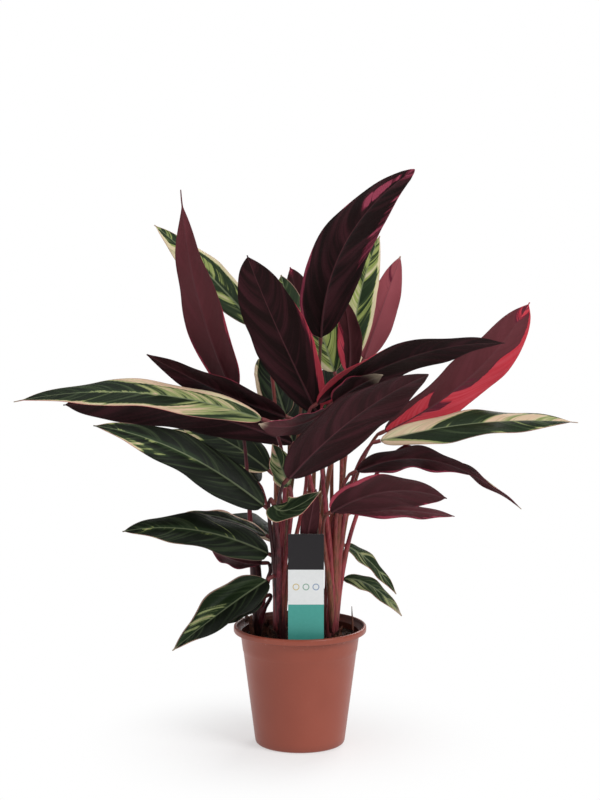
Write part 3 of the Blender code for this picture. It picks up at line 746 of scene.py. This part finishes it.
def makeShoot(name, shoot, material):
    hue, spread = shootHues[name]
    chance = random.Random(name)
    shape = bmesh.new()
    maps = []
    foot, out, top = crownPath(shoot)
    form = stalkForm
    steps, narrowing = form["crownSteps"], form["crownTopRadius"] - form["crownRadius"]
    points = [foot, out - upright * 0.004, out]
    points += [out.lerp(top, step / steps) for step in range(1, steps + 1)]
    radii = [form["crownRadius"]] * 3
    radii += [form["crownRadius"] + narrowing * step / steps for step in range(1, steps + 1)]

    def sheathed(share, turn):  # sheath edges wind slowly up the crown
        place = (turn * form["sheaths"] + share * 1.1) % 1.0
        return 1.0 - form["sheathStep"] / form["crownRadius"] * place ** 3 * 2.0

    for share, turn in addTube(shape, points, radii, 30, sheathed):
        place = turn * form["sheaths"] + share * 1.1
        hueHere = hue + spread * noise.noise((math.floor(place) * 7.3, hue * 31, 0.5))
        maps.append((share * 0.4, hueHere, 0.0))
    for blade in blades.values():
        if blade.shoot != name:
            continue
        points, radii, shares = stalkPath(shoot, blade)
        stalkHue = hue + spread * chance.uniform(-0.5, 0.5)
        wing = chance.uniform(0.30, 0.48)
        facing = chance.random()

        def grooved(share, turn):  # a channelled stalk, sheathed in its lower part
            channel = 1.0 - 0.10 * math.exp(-(((turn - facing + 0.5) % 1.0 - 0.5) / 0.09) ** 2)
            swell = 0.30 * (1.0 - smooth(wing - 0.10, wing, share)) * smooth(0.0, 0.08, share)
            return channel * (1.0 + swell)

        addTube(shape, points, radii, form["sides"], grooved)
        for along in shares:
            inSheath = 1.0 if along < wing else 0.0
            maps += [(along, stalkHue + 0.12 * inSheath, 0.0)] * form["sides"]
    nodeName = {"rearLeft": "rear_left", "rearRight": "rear_right"}.get(name, name)
    piece = pieceFrom(shape, "shoot_stalks_" + nodeName, (material,), "stem", "shoot_" + nodeName)
    paintPoints(piece.data, "stalkMap", maps)


stalkHues = {  # from maroon over rosy and orange-brown to olive
    0.0: tint(46, 18, 23),
    0.28: tint(120, 42, 56),
    0.5: tint(152, 60, 66),
    0.72: tint(124, 74, 50),
    1.0: tint(80, 70, 42),
}
stalkColors = {
    "foot": tint(58, 32, 30),
    "shine": tint(168, 88, 88),
    # painted shade in the furrows between the streaks
    "lines": tint(52, 28, 30),
    # painted shade on the upper stalks, under the leaf blades
    "paintedUpperShade": tint(50, 26, 30),
    "joint": tint(112, 56, 54),
}


def stalkMaterial():
    material, tree, shader = startMaterial("leaf stalk", Specular_IOR_Level=0.25)
    along, hue, _ = painted(tree, "stalkMap")
    place = addNode(tree, "ShaderNodeTexCoord").outputs["Object"]
    flat = apart(tree, place)
    long = together(tree, times(tree, flat[0], 900.0), times(tree, flat[1], 900.0),
                    times(tree, flat[2], 34.0))
    streaks = grain(tree, long, 1.0, 3.0)
    blots = grain(tree, place, 55.0, 2.0)
    shift = calc(tree, "MULTIPLY_ADD", calc(tree, "SUBTRACT", blots, 0.5), 0.5, hue)
    colors = addNode(tree, "ShaderNodeValToRGB")
    while len(colors.color_ramp.elements) < len(stalkHues):
        colors.color_ramp.elements.new(0.5)
    for element, (position, color) in zip(colors.color_ramp.elements, stalkHues.items()):
        element.position, element.color = position, color
    plug(tree, shift, colors.inputs["Fac"])
    low = mixColor(tree, rise(tree, along, 0.0, 0.12), stalkColors["foot"], colors.outputs["Color"])
    gloss = times(tree, rise(tree, streaks, 0.46, 0.64), rise(tree, hue, 0.0, 0.4, 0.12, 0.45))
    lined = mixColor(tree, gloss, low, stalkColors["shine"])
    # painted shade: the furrows between the streaks are darkened
    paintedFurrowShade = times(tree, rise(tree, streaks, 0.34, 0.5, 1.0, 0.0), 0.5)
    lined = mixColor(tree, paintedFurrowShade, lined, stalkColors["lines"])
    # painted shade: the upper parts of the stalks, under the leaves, are darkened
    shadedUpperStalks = mixColor(tree, rise(tree, along, 0.35, 0.85, 0.0, 0.5), lined, stalkColors["paintedUpperShade"])
    jointed = mixColor(tree, times(tree, rise(tree, along, 0.895, 0.92), 0.6), shadedUpperStalks, stalkColors["joint"])
    plug(tree, jointed, shader.inputs["Base Color"])
    plug(tree, rise(tree, streaks, 0.3, 0.7, 0.36, 0.5), shader.inputs["Roughness"])
    plug(tree, relief(tree, streaks, 0.0003, 0.6), shader.inputs["Normal"])
    return material


stalkFinish = stalkMaterial()
for name, shoot in shoots.items():
    makeShoot(name, shoot, stalkFinish)
print("shoots made:", len(shoots))


# pot
pot = {
    "height": 0.154,
    "footRadius": 0.0575,
    "wallTopRadius": 0.0768,
    "rimRadius": 0.0853,
    "rimHeight": 0.008,
    "wall": 0.0014,
    "stepDrop": 0.024,  # the faint step under the rim
    "stepDepth": 0.0005,
    "sides": 176,
    "drainHoles": 6,
    "drainRadius": 0.0045,
    "drainRing": 0.041,
    "clay": tint(138, 64, 46),
    "clouds": tint(146, 70, 52),
    "worn": tint(200, 146, 130),
    "foot": tint(116, 62, 50),
    # painted shade under the rim's lip
    "underRim": tint(92, 44, 34),
    "soiled": tint(48, 26, 22),
}


def potRadius(height):  # outside of the tapered wall
    flare = (pot["wallTopRadius"] - pot["footRadius"]) * height / (pot["height"] - pot["rimHeight"])
    return pot["footRadius"] + flare


def potProfile():  # down the outside and up the inside
    rim, wallTop, foot, wall = pot["rimRadius"], pot["wallTopRadius"], pot["footRadius"], pot["wall"]
    height, drop, depth = pot["height"], pot["stepDrop"], pot["stepDepth"]
    underRim = height - pot["rimHeight"]
    step = underRim - drop
    points = [(rim - 0.0022, height), (rim - 0.0009, height - 0.0003), (rim - 0.0002, height - 0.0011),
              (rim, height - 0.0024), (rim, underRim + 0.0016), (rim - 0.0004, underRim + 0.0005),
              (rim - 0.0013, underRim), (rim - 0.0024, underRim + 0.0003),
              (wallTop + 0.0016, underRim + 0.0004), (wallTop + 0.0004, underRim - 0.0004),
              (wallTop, underRim - 0.0018)]
    for share in (0.25, 0.5, 0.75, 1.0):
        high = underRim - 0.0018 - (drop - 0.0018) * share
        points.append((potRadius(high), high))
    points += [(potRadius(step - 0.0008) - depth * 0.5, step - 0.0008),
               (potRadius(step - 0.0016) - depth, step - 0.0016)]
    for share in (0.2, 0.4, 0.6, 0.8, 1.0):
        high = (step - 0.0016) * (1 - share) + 0.006 * share
        points.append((potRadius(high) - depth * (1 - share), high))
    points += [(potRadius(0.003) - 0.0001, 0.003), (potRadius(0.0015) - 0.0006, 0.0014),
               (foot - 0.0014, 0.0004), (foot - 0.0030, 0.0), (foot - 0.0056, 0.0), (foot - 0.0066, 0.0005),
               (0.030, 0.0005), (0.0, 0.0005), (0.0, wall), (foot - 0.0050, wall)]
    for share in (0.0, 0.33, 0.66, 1.0):
        high = 0.006 + (underRim - 0.006) * share
        points.append((potRadius(high) - wall, high))
    points += [(rim - 0.0052, height - 0.0046), (rim - 0.0046, height - 0.0030),
               (rim - 0.0043, height - 0.0012), (rim - 0.0038, height - 0.0003), (rim - 0.0031, height)]
    return points


def potMaterial():
    material, tree, shader = startMaterial("terracotta plastic", Specular_IOR_Level=0.42)
    place = addNode(tree, "ShaderNodeTexCoord").outputs["Object"]
    x, y, z = apart(tree, place)
    turn = calc(tree, "ARCTAN2", y, x)
    cloudy = grain(tree, place, 12.0, 2.0)
    rings = grain(tree, together(tree, times(tree, turn, 0.6), 0.0, times(tree, z, 900.0)), 1.0, 2.0)
    color = mixColor(tree, rise(tree, cloudy, 0.3, 0.7), pot["clay"], pot["clouds"])
    scuffs = grain(tree, together(tree, times(tree, turn, 14.0), 3.0, times(tree, z, 170.0)), 1.0, 6.0, 0.7)
    nearRim = times(tree, rise(tree, z, 0.134, 0.143), rise(tree, z, 0.1455, 0.1475, 1.0, 0.35))
    worn = times(tree, rise(tree, scuffs, 0.56, 0.70), calc(tree, "MULTIPLY_ADD", nearRim, 0.40, 0.03))
    color = mixColor(tree, worn, color, pot["worn"])
    low = rise(tree, z, 0.0, 0.012, 0.35, 0.0)
    color = mixColor(tree, low, color, pot["foot"])
    reach = distance(tree, x, y)
    # painted shade: a darker band under the overhanging rim
    underRim = times(tree, rise(tree, z, 0.1425, 0.1458), rise(tree, z, 0.1462, 0.1472, 1.0, 0.0))
    color = mixColor(tree, times(tree, underRim, 0.28), color, pot["underRim"])
    middle = calc(tree, "MULTIPLY_ADD", z, 0.1322, 0.0568)  # radius halfway through the wall
    middle = calc(tree, "ADD", middle, rise(tree, z, 0.1458, 0.1470, 0.0, 0.0052))
    depth = calc(tree, "SUBTRACT", middle, reach)
    inside = times(tree, rise(tree, depth, 0.0, 0.0004), rise(tree, z, 0.1365, 0.1375))
    soiled = times(tree, inside, rise(tree, scuffs, 0.30, 0.62, 0.85, 0.6))
    color = mixColor(tree, soiled, color, pot["soiled"])
    plug(tree, color, shader.inputs["Base Color"])
    plug(tree, rise(tree, scuffs, 0.3, 0.7, 0.35, 0.44), shader.inputs["Roughness"])
    skin = grain(tree, place, 900.0, 2.0)
    height = calc(tree, "MULTIPLY_ADD", rings, 0.6, times(tree, skin, 0.4))
    plug(tree, relief(tree, height, 0.00006, 0.4), shader.inputs["Normal"])
    return material


def makePot():
    shape = bmesh.new()
    points = [shape.verts.new((radius, 0.0, height)) for radius, height in potProfile()]
    for first, second in zip(points, points[1:] + points[:1]):
        shape.edges.new((first, second))
    bmesh.ops.spin(shape, geom=shape.verts[:] + shape.edges[:], axis=upright, cent=(0, 0, 0), angle=math.tau,
                   steps=pot["sides"], use_merge=True)
    bmesh.ops.remove_doubles(shape, verts=shape.verts, dist=1e-6)
    bmesh.ops.recalc_face_normals(shape, faces=shape.faces)
    body = pieceFrom(shape, "nursery_pot", (potMaterial(),), "pot_plastic", "pot")
    drill = bmesh.new()
    for index in range(pot["drainHoles"]):
        angle = math.tau * (index + 0.5) / pot["drainHoles"]
        made = bmesh.ops.create_cone(drill, cap_ends=True, segments=28, radius1=pot["drainRadius"],
                                     radius2=pot["drainRadius"], depth=0.012)
        spot = (pot["drainRing"] * math.cos(angle), pot["drainRing"] * math.sin(angle), 0.0)
        bmesh.ops.translate(drill, verts=made["verts"], vec=spot)
    drillMesh = bpy.data.meshes.new("drain holes")
    drill.to_mesh(drillMesh)
    drill.free()
    cutter = bpy.data.objects.new("drain holes", drillMesh)
    bpy.context.scene.collection.objects.link(cutter)
    pushOut(body, "Drain", "BOOLEAN", operation="DIFFERENCE", solver="EXACT", object=cutter)
    bpy.context.view_layer.update()
    cut = bpy.data.meshes.new_from_object(body.evaluated_get(bpy.context.evaluated_depsgraph_get()))
    body.modifiers.clear()
    body.data = cut
    cut.shade_smooth()
    cut.set_sharp_from_angle(angle=math.radians(38))
    bpy.data.objects.remove(cutter)


makePot()
print("pot made")


# soil, crumbs and dry bits
soil = {
    "top": 0.140,
    "rings": 54,
    "sectors": 150,
    "lumps": 0.0028,
    "crumbs": 620,
    "fibres": 90,
    "seed": 17,
    "gap": 0.0006,  # between soil and pot
    "sideHeights": (0.120, 0.060, 0.008, 0.0017),
    "peatDark": tint(22, 15, 12),
    "peatLight": tint(60, 42, 32),
    "clumps": tint(34, 24, 20),
    "specks": tint(128, 96, 70),
}


def soilHeight(x, y):
    radius = math.hypot(x, y)
    height = soil["top"] + 0.0015 * math.exp(-(radius / 0.045) ** 2) - 0.0030 * smooth(0.062, 0.075, radius)
    height += soil["lumps"] * noise.fractal((x * 60, y * 60, 1.7), 0.9, 2.1, 4)
    return height


def soilMaterial():
    material, tree, shader = startMaterial("potting soil", Roughness=0.95, Specular_IOR_Level=0.25)
    place = addNode(tree, "ShaderNodeTexCoord").outputs["Object"]
    peat = grain(tree, place, 260.0, 5.0, 0.7)
    clumps = grain(tree, place, 70.0, 3.0)
    specks = grain(tree, place, 700.0, 1.0)
    color = mixColor(tree, rise(tree, peat, 0.36, 0.66), soil["peatDark"], soil["peatLight"])
    color = mixColor(tree, rise(tree, clumps, 0.48, 0.68), color, soil["clumps"])
    color = mixColor(tree, times(tree, rise(tree, specks, 0.70, 0.76), 0.7), color, soil["specks"])
    plug(tree, color, shader.inputs["Base Color"])
    plug(tree, relief(tree, peat, 0.0012, 0.9), shader.inputs["Normal"])
    return material


barkColors = {
    "dark": tint(46, 23, 19),
    "light": tint(96, 54, 40),
    "lines": tint(134, 94, 72),
}


def barkMaterial():
    material, tree, shader = startMaterial("dry sheath", Roughness=0.8)
    place = addNode(tree, "ShaderNodeTexCoord").outputs["Object"]
    blots = grain(tree, place, 120.0, 3.0)
    lines = grain(tree, place, 900.0, 2.0)
    color = mixColor(tree, rise(tree, blots, 0.4, 0.6), barkColors["dark"], barkColors["light"])
    color = mixColor(tree, times(tree, rise(tree, lines, 0.5, 0.65), 0.5), color, barkColors["lines"])
    plug(tree, color, shader.inputs["Base Color"])
    plug(tree, relief(tree, lines, 0.0004, 0.8), shader.inputs["Normal"])
    return material


def makeSoil(earth, bark):
    shape = bmesh.new()
    edge = potRadius(soil["top"]) - pot["wall"] - soil["gap"]
    center = shape.verts.new((0.0, 0.0, soilHeight(0.0, 0.0)))
    rings = []
    for ring in range(1, soil["rings"] + 1):
        radius = edge * ring / soil["rings"]
        spots = []
        for sector in range(soil["sectors"]):
            angle = math.tau * sector / soil["sectors"]
            x, y = radius * math.cos(angle), radius * math.sin(angle)
            spots.append(shape.verts.new((x, y, soilHeight(x, y))))
        rings.append(spots)
    for height in soil["sideHeights"]:
        radius = potRadius(height) - pot["wall"] - soil["gap"] - (0.003 if height < 0.004 else 0.0)
        rings.append([shape.verts.new((radius * math.cos(math.tau * sector / soil["sectors"]),
                                       radius * math.sin(math.tau * sector / soil["sectors"]), height))
                      for sector in range(soil["sectors"])])
    for sector in range(soil["sectors"]):
        after = (sector + 1) % soil["sectors"]
        shape.faces.new((center, rings[0][sector], rings[0][after]))
        for inner, outer in zip(rings, rings[1:]):
            shape.faces.new((inner[sector], outer[sector], outer[after], inner[after]))
    shape.faces.new(list(reversed(rings[-1])))
    bmesh.ops.recalc_face_normals(shape, faces=shape.faces)
    pieceFrom(shape, "potting_soil", (earth,), "potting_soil", "soil")
    chance = random.Random(soil["seed"])
    crumbs = bmesh.new()
    for _ in range(soil["crumbs"]):
        radius, angle = edge * 0.97 * chance.random() ** 0.5, chance.uniform(0, math.tau)
        x, y = radius * math.cos(angle), radius * math.sin(angle)
        size = 0.0006 + 0.0020 * chance.random() ** 3
        made = bmesh.ops.create_icosphere(crumbs, subdivisions=1, radius=size)["verts"]
        stretch = Vector((chance.uniform(0.7, 1.3), chance.uniform(0.7, 1.3), chance.uniform(0.5, 0.9)))
        for vertex in made:
            rough = 1 + 0.35 * noise.noise(vertex.co * 900 + Vector((x, y, 0)) * 400)
            vertex.co = Vector(a * b for a, b in zip(vertex.co * rough, stretch))
        bmesh.ops.translate(crumbs, verts=made, vec=(x, y, soilHeight(x, y) + size * 0.25))
    pieceFrom(crumbs, "soil_crumbs", (earth,), "potting_soil")
    fibres = bmesh.new()
    for _ in range(soil["fibres"]):
        radius, angle = edge * 0.9 * chance.random() ** 0.5, chance.uniform(0, math.tau)
        x, y = radius * math.cos(angle), radius * math.sin(angle)
        heading = chance.uniform(0, math.tau)
        length = chance.uniform(0.004, 0.013)
        points = []
        for step in range(6):
            t = step / 5 - 0.5
            px = x + math.cos(heading + t) * length * t
            py = y + math.sin(heading + t) * length * t
            points.append(Vector((px, py, soilHeight(px, py) + 0.0006 + 0.0010 * (0.25 - t * t))))
        addTube(fibres, points, [chance.uniform(0.00022, 0.0005)] * 6, 5, lambda share, turn: 1.0)
    pieceFrom(fibres, "soil_fibres", (bark,), "potting_soil")


stub = {
    "place": 0.0675,
    "foot": 0.105,
    "top": 0.178,
    "radius": 0.0018,
    "narrowing": 0.0011,
}


def makeStub(bark):
    shape = bmesh.new()
    points, radii = [], []
    for step in range(15):
        t = step / 14
        sway = 0.0009 * math.sin(4.5 * t)
        height = stub["foot"] + (stub["top"] - stub["foot"]) * t
        points.append(Vector((stub["place"] + sway, 0.0006 * math.sin(7 * t), height)))
        radii.append(stub["radius"] - stub["narrowing"] * t + 0.0003 * math.sin(11 * t) * t)

    def ridged(share, turn):
        return 1.0 + 0.16 * math.sin(math.tau * turn * 3 + share * 5)

    addTube(shape, points, radii, 10, ridged)
    pieceFrom(shape, "dry_stalk_end", (bark,), "dry_stalk", "dry_stub")


# old sheaths, dried and curled, at the feet of the left, front, right and middle shoots: where each stands
# (x, y) and its height, in millimetres, then the bearing it leans to and how far it leans, in degrees
scraps = {
    "places": (
        (-60, 4, 34, 200, 10), (-44, 2, 26, 280, 16), (-57, 24, 22, 120, 18),
        (-34, -30, 24, 250, 14), (48, -21, 20, 300, 12), (18, 4, 22, 290, 12),
    ),
    "thickness": 0.0004,
    "seed": 5,
}


def makeScraps(bark):
    chance = random.Random(scraps["seed"])
    shape = bmesh.new()
    for x, y, height, bearing, lean in scraps["places"]:
        width = chance.uniform(0.0050, 0.0075)
        turn = math.radians(bearing)
        out = Vector((math.cos(turn), math.sin(turn), 0.0))
        side = Vector((-math.sin(turn), math.cos(turn), 0.0))
        made = bmesh.ops.create_grid(shape, x_segments=10, y_segments=8, size=1.0)["verts"]
        for vertex in made:
            t, v = (vertex.co.x + 1) / 2, vertex.co.y
            tear = 1 - 0.35 * abs(v) * smooth(0.5, 1.0, t) * (1 + math.sin(v * 9 + x))
            tall = height * mm * t * tear
            away = math.radians(lean) * t * t * height * mm * 1.6
            spread = width * (1 - 0.55 * t) * v
            cup = width * 0.7 * (1 - v * v) * (1 - 0.5 * t)
            base = Vector((x * mm, y * mm, soilHeight(x * mm, y * mm) - 0.002))
            vertex.co = base + out * (away + cup) + side * spread + upright * tall
    piece = pieceFrom(shape, "dry_sheaths", (bark,), "dry_stalk")
    pushOut(piece, "Thickness", "SOLIDIFY", thickness=scraps["thickness"])


earth, bark = soilMaterial(), barkMaterial()
makeSoil(earth, bark)
makeStub(bark)
makeScraps(bark)
print("soil made")


# plant label
label = {
    "width": 0.045,
    "top": 0.2845,
    "shoulder": 0.126,
    "tip": 0.092,
    "thickness": 0.0009,
    "place": (0.0075, -0.062),
    "corner": 0.0014,
    "darkFrom": 0.2390,
    "whiteFrom": 0.1945,
    "ringHeight": 0.2170,
    "rings": {-0.0125: tint(196, 176, 120), 0.0: tint(122, 160, 140), 0.0125: tint(130, 150, 176)},
    "dark": (tint(28, 25, 28), tint(34, 31, 34)),
    "white": (tint(216, 218, 218), tint(226, 228, 228)),
    "teal": (tint(66, 148, 138), tint(74, 156, 146)),
    "back": tint(214, 216, 212),
}


def labelMaterial():
    material, tree, shader = startMaterial("label card", Specular_IOR_Level=0.25)
    place = addNode(tree, "ShaderNodeTexCoord").outputs["Object"]
    x, y, z = apart(tree, place)
    front = rise(tree, y, label["place"][1] - 0.0002, label["place"][1], 1.0, 0.0)
    fleck = grain(tree, place, 300.0, 3.0)
    dark, white, teal = (mixColor(tree, fleck, *label[band]) for band in ("dark", "white", "teal"))

    def above(height):
        return rise(tree, z, height - 0.0001, height + 0.0001)

    shown = mixColor(tree, above(label["whiteFrom"]), teal, white)
    across = calc(tree, "SUBTRACT", x, label["place"][0])
    for offset, color in label["rings"].items():
        aside = calc(tree, "SUBTRACT", across, offset)
        near = distance(tree, aside, calc(tree, "SUBTRACT", z, label["ringHeight"]))
        drawn = times(tree, rise(tree, near, 0.0042, 0.0044, 1.0, 0.0), rise(tree, near, 0.0030, 0.0032))
        shown = mixColor(tree, drawn, shown, color)
    shown = mixColor(tree, above(label["darkFrom"]), shown, dark)
    shown = mixColor(tree, front, label["back"], shown)
    plug(tree, shown, shader.inputs["Base Color"])
    plug(tree, rise(tree, fleck, 0.3, 0.7, 0.30, 0.38), shader.inputs["Roughness"])
    plug(tree, relief(tree, fleck, 0.00006, 0.4), shader.inputs["Normal"])
    return material


def makeLabel():
    form = label
    outline = []
    for sign in (1, -1):
        side = []
        for step in range(7):  # rounded upper corner
            turn = math.pi / 2 * step / 6
            x = form["width"] / 2 - form["corner"] * (1 - math.sin(turn))
            side.append((x, form["top"] - form["corner"] * (1 - math.cos(turn))))
        side += [(form["width"] / 2, form["shoulder"]), (form["width"] / 5, form["tip"])]
        outline += [(sign * x, z) for x, z in (side if sign > 0 else reversed(side))]
    shape = bmesh.new()
    front = form["place"][1] - form["thickness"] / 2
    face = shape.faces.new([shape.verts.new((form["place"][0] + x, front, z)) for x, z in outline])
    made = bmesh.ops.extrude_face_region(shape, geom=[face])["geom"]
    moved = [corner for corner in made if isinstance(corner, bmesh.types.BMVert)]
    bmesh.ops.translate(shape, verts=moved, vec=(0, form["thickness"], 0))
    bmesh.ops.recalc_face_normals(shape, faces=shape.faces)
    bmesh.ops.triangulate(shape, faces=shape.faces)
    card = pieceFrom(shape, "label_card", (labelMaterial(),), "label_card", "label")
    card.data.set_sharp_from_angle(angle=math.radians(30))
    pushOut(card, "Worn edge", "BEVEL", width=0.0002, segments=2, limit_method="ANGLE")


makeLabel()
print("label made")
